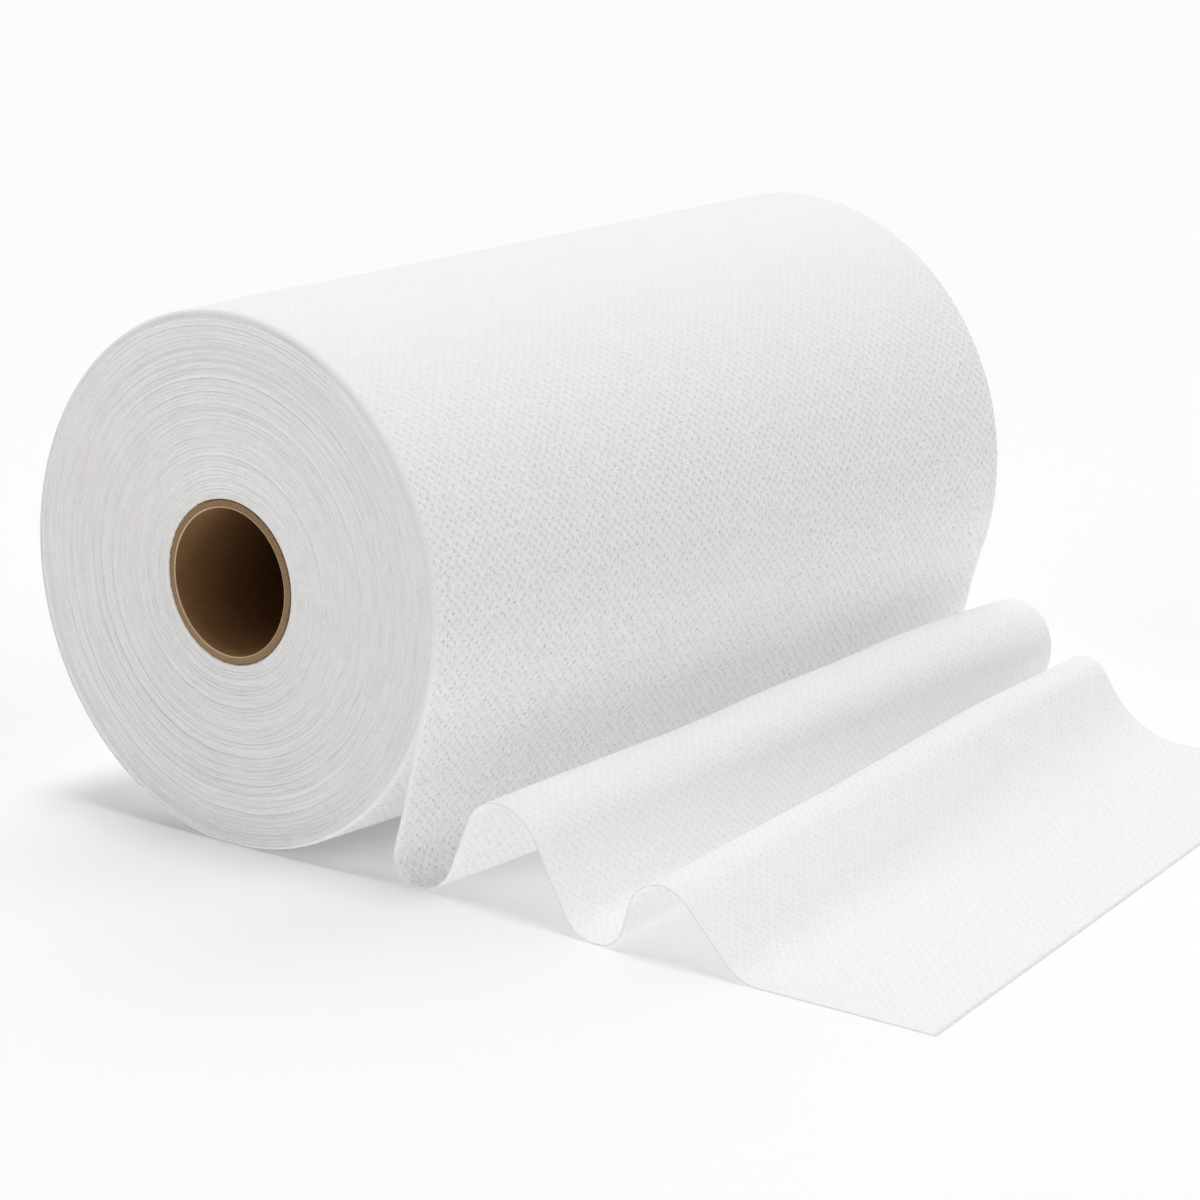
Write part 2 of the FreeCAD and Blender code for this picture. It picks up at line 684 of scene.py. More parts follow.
@dataclass(frozen=True)
class TurnLines:
    """How the wound turns show: their pitch, each noise, and where its mask starts and ends."""

    pitch: float = 0.95 * MM
    wander: RingNoise = RingNoise(2.5, 0.3)
    wander_turns: float = 3.0
    ridge_mask: Point = (0.25, 1.0)
    strong: RingNoise = RingNoise(4.0, 0.45)
    strong_mask: Point = (0.36, 0.62)
    fine: RingNoise = RingNoise(5.0, 2.3)
    fine_mask: Point = (0.5, 0.72)
    speck: RingNoise = RingNoise(60.0, 2.2, detail=1.5)
    speck_mask: Point = (0.56, 0.74)
    tint: RingNoise = RingNoise(6.0, 0.6)
    tint_mask: Point = (0.35, 0.65)


def fibre_group() -> bpy.types.NodeTree:
    """Paper fibre: a fine tangle that lifts the surface and clouds its colour.

    Returns:
        A group with the outputs Height and Cloud, both about 0 to 1.
    """
    group = GroupMaker("paper_fibre")
    place = group.vector("Place")
    size = group.number("Size", 0.5 * MM)
    shader = group.shader
    unit = shader.scaled(place, shader.math("DIVIDE", 1.0, size))
    group.give("Height", shader.noise(unit, scale=1.0, detail=4.0))
    group.give("Cloud", shader.noise(unit, scale=0.06, detail=3.0))
    return group.tree


def emboss_group(sizes: Embossing) -> bpy.types.NodeTree:
    """Embossing: small round pits on a diagonal lattice, in crumpled soft paper.

    Args:
        sizes: the embossing's sizes.

    Returns:
        A group with the outputs Height, in units of a pit's depth, Pit, 1 at the bottom of
        a deep pit, and a painted relief shade, high on the raised paper, which is painted
        lighter, and low in its creases, which are painted darker.
    """
    group = GroupMaker("embossed_pits")
    place = group.vector("Place")
    pitch = group.number("Pitch", sizes.pitch)
    jitter = group.number("Jitter", sizes.jitter)
    crumple = group.number("Crumple", sizes.crumple)
    shader = group.shader
    stray = shader.noise(place, scale=sizes.strays_in_a_metre, detail=2.0)
    moved = shader.vector("ADD", place, shader.times(shader.minus(stray, 0.5), sizes.stray))
    turned = shader.node("ShaderNodeVectorRotate", rotation_type="Z_AXIS")
    shader.feed(turned, Vector=moved, Angle=sizes.lattice_angle)
    lattice = shader.scaled(turned.outputs[0], shader.math("DIVIDE", 1.0, pitch))
    cells = shader.node("ShaderNodeTexVoronoi", voronoi_dimensions="2D")
    shader.feed(cells, Vector=lattice, Scale=1.0, Randomness=jitter)
    away = cells.outputs["Distance"]
    chance = shader.node("ShaderNodeSeparateColor")
    shader.feed(chance, Color=cells.outputs["Color"])
    reach = shader.between(chance.outputs[0], *sizes.pit_reach)
    depth = shader.between(chance.outputs[1], *sizes.pit_depth)
    pit = shader.times(shader.minus(1.0, shader.rise(away, sizes.pit_floor, reach)), depth)
    pillow = shader.times(shader.rise(away, *sizes.pillow), sizes.pillow_height)
    crumbs = shader.noise(shader.scaled(place, 1 / sizes.crumb), scale=1.0, detail=2.0)
    crumbs = shader.times(shader.minus(crumbs, 0.5), crumple)
    group.give("Height", shader.plus(shader.minus(pillow, pit), crumbs))
    group.give("Pit", pit)
    # Painted relief shade: darker in the crumbs' creases, lighter on the raised pillows.
    group.give("PaintedReliefShade", shader.plus(crumbs, shader.times(pillow, sizes.pillow_painted_light)))
    return group.tree


def turn_lines_group(sizes: TurnLines) -> bpy.types.NodeTree:
    """Lines that follow the wound turns round the roll's end.

    Args:
        sizes: how the turns show.

    Returns:
        A group with the outputs Line and Speck, masks of dark lines and short dark dashes,
        and Tint, a change from 0 to 1 for warmer and cooler turns.
    """
    group = GroupMaker("turn_lines")
    place = group.vector("Place")
    pitch = group.number("Pitch", sizes.pitch)
    shader = group.shader
    flat = shader.across_axis(place)
    spoke = shader.vector("NORMALIZE", flat)
    turns = shader.math("DIVIDE", shader.vector("LENGTH", flat), pitch)

    def along_turns(noise: RingNoise) -> bpy.types.NodeSocket:
        """Noise that follows the turns.

        Args:
            noise: how fast it changes.

        Returns:
            A value from 0 to 1.
        """
        slow = shader.scaled(spoke, noise.around)
        fast = shader.node("ShaderNodeCombineXYZ")
        shader.feed(fast, Z=shader.times(turns, noise.across))
        return shader.noise(shader.vector("ADD", slow, fast.outputs[0]), 1.0, noise.detail)

    wander = shader.times(along_turns(sizes.wander), sizes.wander_turns)
    wave = shader.math("SINE", shader.times(shader.plus(turns, wander), FULL_TURN))
    strong = shader.rise(along_turns(sizes.strong), *sizes.strong_mask)
    line = shader.times(shader.rise(wave, *sizes.ridge_mask), strong)
    fine = shader.rise(along_turns(sizes.fine), *sizes.fine_mask)
    group.give("Line", shader.larger(line, fine))
    group.give("Speck", shader.rise(along_turns(sizes.speck), *sizes.speck_mask))
    group.give("Tint", shader.rise(along_turns(sizes.tint), *sizes.tint_mask))
    return group.tree


@dataclass(frozen=True)
class SharedGroups:
    """The node groups that the finishes place."""

    fibre: bpy.types.NodeTree
    emboss: bpy.types.NodeTree
    turn_lines: bpy.types.NodeTree

    @classmethod
    def build(cls) -> "SharedGroups":
        """Builds each group once."""
        return cls(fibre_group(), emboss_group(Embossing()), turn_lines_group(TurnLines()))


def start_material(name: str, roughness: float, specular: float) -> tuple[
    bpy.types.Material, Shader, bpy.types.Node
]:
    """Starts a material with one Principled BSDF.

    Args:
        name: the material's name.
        roughness: its roughness, the same all over.
        specular: its specular level, the same all over.

    Returns:
        The material, a shader tool for its tree, and the Principled BSDF.
    """
    material = bpy.data.materials.new(name)
    material.use_nodes = True
    surface = material.node_tree.nodes["Principled BSDF"]
    surface.inputs["Roughness"].default_value = roughness
    surface.inputs["Specular IOR Level"].default_value = specular
    return material, Shader(material.node_tree), surface


# ---- finishes ------------------------------------------------------------------------


@dataclass(frozen=True)
class EmbossedPaper:
    """Soft white paper, embossed all over with small pits and thin enough to glow.

    Places along the web are counted from where it leaves the roll. The pits are painted
    with shade, and painted relief shade darkens the creases and lightens the raised paper.
    The embossing is pressed flatter, and its painted shade is fainter, near the web's edges,
    far out on the free end and on the turn's highest stretch, where the light falls straight
    on. The stretch about where the web leaves the roll is painted a little lighter, a painted
    fill light that lifts the shade of the hollow under the roll and at the foot.
    """

    sizes: RollSizes
    colour: Colour = (0.885, 0.885, 0.883, 1.0)
    # Painted shade at the bottom of the pits.
    painted_pit_shade: Colour = (0.8, 0.8, 0.795, 1.0)
    glow_colour: Colour = WHITE
    lamp_light_through: float = 0.6
    bounced_light_through: float = 0.85
    pit_depth: float = 0.25 * MM
    fibre_height: float = 0.04 * MM
    fibre: float = 0.45 * MM
    cloud: Point = (0.975, 1.015)
    # Painted relief shade: how far the creases are painted darker and the raised paper lighter.
    painted_relief_shade: float = 0.27
    painted_relief_middle: float = -0.16
    plain_edge: Point = (0.3 * MM, 2.4 * MM)
    relaxing: Point = (50 * MM, 100 * MM)
    relaxed_press: float = 0.32
    # The turn's highest stretch, where the embossing is flattest and its painted shade faintest.
    flattest_least_shaded: float = -160 * MM
    flattened_and_unshaded: Point = (45 * MM, 140 * MM)
    press: Point = (0.2, 1.25)
    # Painted fill light: where the web is painted lighter to lift its shade, and by how much.
    painted_fill_from: Point = (-45 * MM, -5 * MM)
    painted_fill_to: Point = (70 * MM, 95 * MM)
    painted_fill_light: float = 0.07

    def material(self, groups: SharedGroups) -> bpy.types.Material:
        """Makes the paper's material.

        Args:
            groups: the shared node groups.

        Returns:
            The material, which reads the web's own coordinates.
        """
        material, shader, surface = start_material("embossed_paper", roughness=0.9, specular=0.2)
        web = shader.node("ShaderNodeUVMap", uv_map=WEB_COORDINATES).outputs[0]
        emboss = shader.group(groups.emboss, Place=web)
        fibre = shader.group(groups.fibre, Place=web, Size=self.fibre)
        along, across, _ = shader.parts(web)
        pressed_and_shaded = self.pressed_and_shaded(shader, along, across)
        # Painted shade: the pits are painted darker, as strongly as they are pressed.
        pit = shader.times(emboss.outputs["Pit"], pressed_and_shaded)
        colour = shader.blend(pit, self.colour, self.painted_pit_shade)
        # Painted relief shade: darker in the creases, lighter on the raised paper between the
        # pits.
        crumb = shader.minus(emboss.outputs["PaintedReliefShade"], self.painted_relief_middle)
        crumb = shader.times(shader.times(crumb, self.painted_relief_shade), pressed_and_shaded)
        shade = shader.plus(shader.between(fibre.outputs["Cloud"], *self.cloud), crumb)
        # Painted fill light: lighter from just before the web leaves the roll down past the foot,
        # to lift the shade there.
        painted_fill = shader.minus(
            shader.rise(along, *self.painted_fill_from), shader.rise(along, *self.painted_fill_to)
        )
        shade = shader.plus(shade, shader.times(painted_fill, self.painted_fill_light))
        pits = shader.times(shader.times(emboss.outputs["Height"], self.pit_depth), pressed_and_shaded)
        fibres = shader.times(fibre.outputs["Height"], self.fibre_height)
        normal = shader.bump(shader.plus(pits, fibres))
        shader.feed(surface, Base_Color=shader.shaded(colour, shade), Normal=normal)
        shader.show(self.seen_through(shader, surface.outputs[0]))
        return material

    def pressed_and_shaded(
        self, shader: Shader, along: bpy.types.NodeSocket, across: bpy.types.NodeSocket
    ) -> bpy.types.NodeSocket:
        """How strongly the embossing is pressed, and its shade painted, at each place on the web.

        Args:
            shader: the tool for the material's node tree.
            along: the distance along the web.
            across: the distance from the web's middle.

        Returns:
            0 where the paper is plain, and about 1 where the embossing is at its usual depth and
            its painted shade at its usual strength.
        """
        from_edge = shader.minus(self.sizes.half_width, shader.math("ABSOLUTE", across))
        relaxed = shader.rise(along, *self.relaxing)
        # Weakest on the turn's highest stretch, where the light falls straight on: both the bump
        # and the painted shade fade there.
        from_flattest = shader.math("ABSOLUTE", shader.minus(along, self.flattest_least_shaded))
        bold = shader.rise(from_flattest, *self.flattened_and_unshaded)
        pressed_and_shaded = shader.times(
            shader.rise(from_edge, *self.plain_edge),
            shader.between(relaxed, 1.0, self.relaxed_press),
        )
        return shader.times(pressed_and_shaded, shader.between(bold, *self.press))

    def seen_through(
        self, shader: Shader, surface: bpy.types.NodeSocket
    ) -> bpy.types.NodeSocket:
        """Lets part of the lamps' light and of the bounced light through the thin sheet.

        Args:
            shader: the tool for the material's node tree.
            surface: the paper's surface, which is all that is seen straight on.

        Returns:
            The surface, partly clear to shadow rays and to diffuse rays.
        """
        clear = shader.node("ShaderNodeBsdfTransparent")
        shader.feed(clear, Color=self.glow_colour)
        rays = shader.node("ShaderNodeLightPath").outputs
        bounced = shader.either(self.bounced_light_through, surface, clear.outputs[0])
        from_lamp = shader.either(self.lamp_light_through, surface, clear.outputs[0])
        seen = shader.either(rays["Is Diffuse Ray"], surface, bounced)
        return shader.either(rays["Is Shadow Ray"], seen, from_lamp)


@dataclass(frozen=True)
class TurnEdges:
    """The cut edges of the wound turns, seen at the roll's ends."""

    colour: Colour = (0.89, 0.89, 0.88, 1.0)
    warm_colour: Colour = (0.90, 0.875, 0.865, 1.0)
    line_colour: Colour = (0.62, 0.605, 0.595, 1.0)
    line_share: float = 0.34
    speck_share: float = 0.42
    line_depth: float = 0.1 * MM
    fuzz_height: float = 0.1 * MM
    fuzz: float = 0.45 * MM

    def material(self, groups: SharedGroups) -> bpy.types.Material:
        """Makes the material of the cut edges.

        Args:
            groups: the shared node groups.

        Returns:
            The material, which reads the piece's place on the roll.
        """
        material, shader, surface = start_material("turn_edges", roughness=0.95, specular=0.15)
        place = shader.node("ShaderNodeTexCoord").outputs["Object"]
        lines = shader.group(groups.turn_lines, Place=place)
        fibre = shader.group(groups.fibre, Place=place, Size=self.fuzz)
        tinted = shader.blend(lines.outputs["Tint"], self.colour, self.warm_colour)
        line = shader.times(lines.outputs["Line"], self.line_share)
        speck = shader.times(lines.outputs["Speck"], self.speck_share)
        dark = shader.larger(line, speck)
        colour = shader.blend(dark, tinted, self.line_colour)
        drop = shader.times(dark, -self.line_depth)
        fuzz = shader.times(fibre.outputs["Height"], self.fuzz_height)
        normal = shader.bump(shader.plus(drop, fuzz))
        shader.feed(surface, Base_Color=colour, Normal=normal)
        return material


@dataclass(frozen=True)
class KraftBoard:
    """Brown paperboard: spiral wound plies, paler where the tube was sawn."""

    sizes: RollSizes
    mouth_colour: Colour = (0.32, 0.17, 0.066, 1.0)
    # Painted shade: the wall's colour deep in the bore, painted darker than at the mouth.
    painted_deep_shade: Colour = (0.15, 0.069, 0.02, 1.0)
    sawn_colour: Colour = (0.36, 0.235, 0.13, 1.0)
    ply_colour: Colour = (0.23, 0.14, 0.075, 1.0)
    # Darkens the board's fibres, and is the painted shade of the gap at the tube's rim.
    dark_fibre_and_gap_shade: Colour = (0.16, 0.10, 0.06, 1.0)
    # Painted highlight on the bore's lip, over its paler edge fuzz.
    painted_lip_highlight: Colour = (0.76, 0.60, 0.41, 1.0)
    ply_line: Point = (-0.4, 1.0)
    ply_share: float = 0.5
    fibre: float = 0.55 * MM
    fibre_height: float = 0.1 * MM
    tangle: Point = (0.38, 0.62)
    wall_tangle: float = 0.45
    sawn_tangle: float = 0.75
    sawn_reach: float = 0.45 * MM
    frayed: float = 0.35 * MM
    rim: Point = (-0.25 * MM, 0.1 * MM)
    lip: Point = (0.1 * MM, 0.3 * MM)
    # How far into the bore the painted shade darkens the wall.
    painted_shade_length: float = 55 * MM

    def material(self, groups: SharedGroups) -> bpy.types.Material:
        """Makes the board's material.

        Args:
            groups: the shared node groups.

        Returns:
            The material, which reads the piece's place on the roll.
        """
        material, shader, surface = start_material("kraft_board", roughness=0.85, specular=0.2)
        place = shader.node("ShaderNodeTexCoord").outputs["Object"]
        fibre = shader.group(groups.fibre, Place=place, Size=self.fibre)
        tangle = shader.rise(fibre.outputs["Height"], *self.tangle)
        radius = shader.vector("LENGTH", shader.across_axis(place))
        from_bore = shader.minus(radius, self.sizes.bore_radius)
        along = shader.math("ABSOLUTE", shader.parts(place)[1])
        end = self.sizes.half_width
        sawn = shader.rise(along, end - self.sawn_reach, end - self.sawn_reach / 2)
        # Painted shade: the wall darkens from its colour at the mouth to the painted shade deep
        # in the bore.
        unshaded_mouth = shader.rise(along, end - self.painted_shade_length, end)
        wall = shader.blend(unshaded_mouth, self.painted_deep_shade, self.mouth_colour)
        wall = shader.blend(shader.times(tangle, self.wall_tangle), wall, self.dark_fibre_and_gap_shade)
        colour = shader.blend(sawn, wall, self.sawn_end(shader, from_bore, tangle))
        normal = shader.bump(shader.times(fibre.outputs["Height"], self.fibre_height))
        shader.feed(surface, Base_Color=colour, Normal=normal)
        return material

    def sawn_end(
        self, shader: Shader, from_bore: bpy.types.NodeSocket, tangle: bpy.types.NodeSocket
    ) -> bpy.types.NodeSocket:
        """The colour across the tube's sawn end.

        Args:
            shader: the tool for the material's node tree.
            from_bore: the distance from the bore.
            tangle: where the board's fibres show, from 0 to 1.

        Returns:
            Plies, with a pale lip at the bore, its edge fuzz painted lighter as a highlight, and
            a frayed dark rim painted as the shade of the gap where the tube meets the paper.
        """
        plies = shader.math("SINE", shader.times(from_bore, FULL_TURN / self.sizes.ply))
        ply = shader.times(shader.rise(plies, *self.ply_line), self.ply_share)
        rough = shader.larger(ply, shader.times(tangle, self.sawn_tangle))
        cut = shader.blend(rough, self.sawn_colour, self.ply_colour)
        outside = self.sizes.core_radius - self.sizes.bore_radius
        # Painted shade of the gap where the tube meets the paper: a dark rim, frayed by the
        # fibres.
        reach = shader.plus(from_bore, shader.times(tangle, self.frayed))
        rim = shader.rise(reach, outside + self.rim[0], outside + self.rim[1])
        cut = shader.blend(rim, cut, self.dark_fibre_and_gap_shade)
        # Painted highlight: a pale lip along the bore's edge, over its edge fuzz.
        lip = shader.minus(1.0, shader.rise(from_bore, *self.lip))
        return shader.blend(lip, cut, self.painted_lip_highlight)


# ---- pieces --------------------------------------------------------------------------


@dataclass
class FreeWeb:
    """The outermost turn of the paper and the free end that hangs off it, as one sheet.

    Where it uncurls, comes free, sways and rises to a ridge is counted along the web from
    where it leaves the roll. Heights are counted from the table.
    """

    sizes: RollSizes
    rim: SoftRim
    near: EdgeOutline = NEAR_OUTLINE
    far: EdgeOutline = FAR_OUTLINE
    tucked_in: float = math.radians(6.0)
    longest_step: float = 2.4 * MM
    widest_turn: float = math.radians(5.0)
    columns: int = 92
    uncurling: Point = (-4 * MM, 26 * MM)
    coming_free: Point = (0.0, 12 * MM)
    clear_of_table: Point = (1 * MM, 14 * MM)
    ridge_lift: float = 1.9 * MM
    ridge_skew: int = 3
    ridge_from: Point = (70 * MM, 80 * MM)
    ridge_heights: Point = (4 * MM, 31 * MM)
    sway_in: float = 2.8 * MM
    swaying_in: Point = (0.0, 52 * MM)
    sway_out: float = 6.2 * MM
    swaying_out: Point = (58 * MM, 178 * MM)
    roll_ripple: Ripple = field(
        default_factory=lambda: Ripple.seeded(3, 6, 0.05 * MM, (0.09, 0.3), (0.03, 0.12))
    )
    free_ripple: Ripple = field(
        default_factory=lambda: Ripple.seeded(8, 7, 0.16 * MM, (0.03, 0.12), (0.05, 0.2))
    )

    @property
    def rest_z(self) -> float:
        """The height of the web's middle where it lies on the table."""
        return self.sizes.table_z + self.sizes.web_thickness / 2

    @property
    def over_radius(self) -> float:
        """The radius of the web's middle where it goes over the roll."""
        return self.sizes.outer_radius - self.sizes.web_thickness / 2

    def on_roll(self, outline: EdgeOutline) -> list[Stretch]:
        """The middle line of one edge on its turn round the roll.

        Args:
            outline: how that edge of the free end lies.

        Returns:
            The stretch under the roll, the flat spot and the stretch over the roll.
        """
        under_radius = self.over_radius - self.sizes.web_thickness
        right = (math.sqrt(under_radius**2 - self.rest_z**2), self.rest_z)
        left = (-math.sqrt(self.over_radius**2 - self.rest_z**2), self.rest_z)
        tucked = self.sizes.departure + self.tucked_in
        left_angle = heading_of(AXIS, left)
        over_turn = math.radians(outline.departure) - FULL_TURN - left_angle
        return [
            Arc(AXIS, under_radius, tucked, heading_of(AXIS, right) - tucked),
            Straight(right, left),
            Arc(AXIS, self.over_radius, left_angle, over_turn),
        ]

    def off_roll(self, outline: EdgeOutline) -> list[Stretch]:
        """The middle line of one edge of the free end.

        Args:
            outline: how that edge lies.

        Returns:
            Runs and bends by turns, from the roll to the cut end.
        """
        departure = math.radians(outline.departure)
        start = step(AXIS, departure, self.over_radius)
        drop = (start[1] - self.rest_z) / math.cos(departure)
        foot = step(start, departure - QUARTER_TURN, drop)
        foot_bend = outline.foot_bend * MM
        foot_end = foot[0] + foot_bend * math.tan((QUARTER_TURN - departure) / 2)
        route = [start, foot]
        radii = [foot_bend]
        for distance, height, radius in outline.corners:
            route.append((foot_end + distance * MM, self.rest_z + height * MM))
            radii.append(radius * MM)
        route.append((foot_end + outline.end * MM, self.rest_z))
        return rounded(route, radii)

    def length(self, outline: EdgeOutline) -> float:
        """How long one edge of the sheet is, from its tucked end to its cut end."""
        return sum(one.length for one in self.on_roll(outline) + self.off_roll(outline))

    @property
    def turn_length(self) -> float:
        """How much of the near edge is round the roll."""
        return sum(one.length for one in self.on_roll(self.near))

    def courses(self) -> tuple[np.ndarray, np.ndarray]:
        """Both edges of the web, stepped along together.

        Returns:
            For the near edge and the far edge, a row of (x, z, normal x, normal z, distance
            from the tucked end) for each step.
        """
        on_roll = list(zip(self.on_roll(self.near), self.on_roll(self.far)))
        pairs = on_roll + list(zip(self.off_roll(self.near), self.off_roll(self.far)))
        rows: tuple[list[np.ndarray], list[np.ndarray]] = ([], [])
        gone = [0.0, 0.0]
        for number, pair in enumerate(pairs):
            steps = max(stretch.length for stretch in pair) / self.longest_step
            if number >= len(on_roll):
                steps = max(steps, *(abs(one.turn) / self.widest_turn for one in pair))
            shares = np.linspace(0.0, 1.0, max(1, math.ceil(steps)) + 1)
            if number < len(pairs) - 1:
                shares = shares[:-1]
            for side, stretch in enumerate(pair):
                x, z, heading = stretch.places(shares).T
                distance = gone[side] + shares * stretch.length
                row = [x, z, -np.sin(heading), np.cos(heading), distance]
                rows[side].append(np.column_stack(row))
                gone[side] += stretch.length
        return np.concatenate(rows[0]), np.concatenate(rows[1])

    def column_places(self) -> tuple[np.ndarray, np.ndarray]:
        """Where the columns of points lie across the web.

        Returns:
            Each column's distance from the web's middle, and its angle round the soft rim,
            which is 0 between the rims.
        """
        angles = self.rim.angles()
        edge = self.sizes.half_width - self.rim.distance_from_edge(angles)
        middle = np.linspace(-edge[-1], edge[-1], self.columns + 1)[1:-1]
        places = np.concatenate([-edge, middle, edge[::-1]])
        rims = np.concatenate([angles, np.zeros(len(middle)), angles[::-1]])
        return places, rims

    def build(self) -> bpy.types.Object:
        """Makes the sheet's mesh, with the web's own coordinates on it.

        Returns:
            The sheet.
        """
        near, far = self.courses()
        places = self.column_places()[0]
        share = (places + self.sizes.half_width) / (2 * self.sizes.half_width)
        across = share[None, :, None]
        course = near[:, None, :] * (1 - across) + far[:, None, :] * across
        gone = near[:, 4:] - self.turn_length
        half = self.sizes.web_thickness / 2
        layers = [self.layer(course, gone, share, outwards) for outwards in (half, -half)]
        numbers = np.arange(course[..., 0].size).reshape(course.shape[:2])
        top = grid_faces(numbers)
        edges = self.edge_faces(numbers)
        faces = np.concatenate([top, numbers.size + top[:, ::-1], edges])
        points = np.concatenate(layers).reshape(-1, 3)
        web = make_piece("free_web", points, faces, len(edges))
        self.lay_coordinates(web, course[..., 4] - self.turn_length, places)
        return web

    def layer(
        self, course: np.ndarray, gone: np.ndarray, share: np.ndarray, outwards: float
    ) -> np.ndarray:
        """One side of the sheet.

        Args:
            course: what courses gives, for each step and column.
            gone: how far from the roll each step is, along the near edge.
            share: how far across the web each column is.
            outwards: how far this side is outside the sheet's middle.

        Returns:
            The (x, y, z) of the point at each step and column.
        """
        places, rims = self.column_places()
        inland, inwards = self.rim.place(rims, outwards)
        curl = 1 - smooth_step(*self.uncurling, gone)
        rim_y = np.sign(places) * (self.sizes.half_width - inland)
        y = np.where(rims > 0, curl * rim_y + (1 - curl) * places, places)
        y = y + self.sway(gone)
        out = np.where(rims > 0, (1 - curl) * outwards - curl * inwards, outwards)
        ripple, ridge = self.unevenness(course, y, share)
        x = course[..., 0] + course[..., 2] * (out + ripple)
        z = course[..., 1] + course[..., 3] * (out + ripple) + ridge
        lowest = self.sizes.table_z + (self.sizes.web_thickness if outwards > 0 else 0.0)
        return np.stack([x, y, np.maximum(z, lowest)], axis=-1)

    def sway(self, gone: np.ndarray) -> np.ndarray:
        """How far the free end strays along the roll, at each distance from the roll."""
        back = self.sway_in * smooth_step(*self.swaying_in, gone)
        return back - self.sway_out * smooth_step(*self.swaying_out, gone)

    def unevenness(
        self, course: np.ndarray, y: np.ndarray, share: np.ndarray
    ) -> tuple[np.ndarray, np.ndarray]:
        """How the real sheet strays from its plain course.

        Args:
            course: what courses gives, for each step and column.
            y: how far along the roll each point is.
            share: how far across the web each column is.

        Returns:
            How far each point moves outwards, and how far it moves up.
        """
        distance = course[..., 4]
        gone = distance - self.turn_length
        height = course[..., 1] - self.sizes.table_z
        free = smooth_step(*self.coming_free, gone)
        ripple = (1 - free) * self.roll_ripple(distance, y) + free * self.free_ripple(distance, y)
        high = smooth_step(*self.ridge_heights, height) * smooth_step(*self.ridge_from, gone)
        ridge = self.ridge_lift * np.sin(math.pi * share**self.ridge_skew) * high
        return ripple * smooth_step(*self.clear_of_table, height), ridge

    def edge_faces(self, numbers: np.ndarray) -> np.ndarray:
        """The narrow faces that close the sheet round its edge.

        Args:
            numbers: the point numbers of the sheet's upper side, by step and column. The
                lower side has as many points, numbered on from these.

        Returns:
            Four point numbers for each face.
        """
        here = np.concatenate(
            [numbers[:-1, 0], numbers[-1, :-1], numbers[:0:-1, -1], numbers[0, :0:-1]]
        )
        there = np.roll(here, -1)
        return np.stack([here, here + numbers.size, there + numbers.size, there], axis=-1)

    def lay_coordinates(
        self, web: bpy.types.Object, distance: np.ndarray, places: np.ndarray
    ) -> None:
        """Gives each corner its place on the flat web, in metres.

        Args:
            web: the sheet.
            distance: how far along the web each point of one side is, from the roll on.
            places: how far from the web's middle each column is.
        """
        mesh = web.data
        layer = mesh.uv_layers.new(name=WEB_COORDINATES)
        across = np.broadcast_to(places, distance.shape)
        one_side = np.stack([distance, across], axis=-1).reshape(-1, 2)
        corners = np.empty(len(mesh.loops), dtype=np.int32)
        mesh.loops.foreach_get("vertex_index", corners)
        layer.data.foreach_set("uv", one_side[corners % len(one_side)].ravel())

    def declare(self) -> None:
        """Works out the length, width and area that the sheet was cut to; nothing is done with
        them.
        """
        near = self.length(self.near)
        width = 2 * self.sizes.half_width
        area = width * (near + self.length(self.far)) / 2


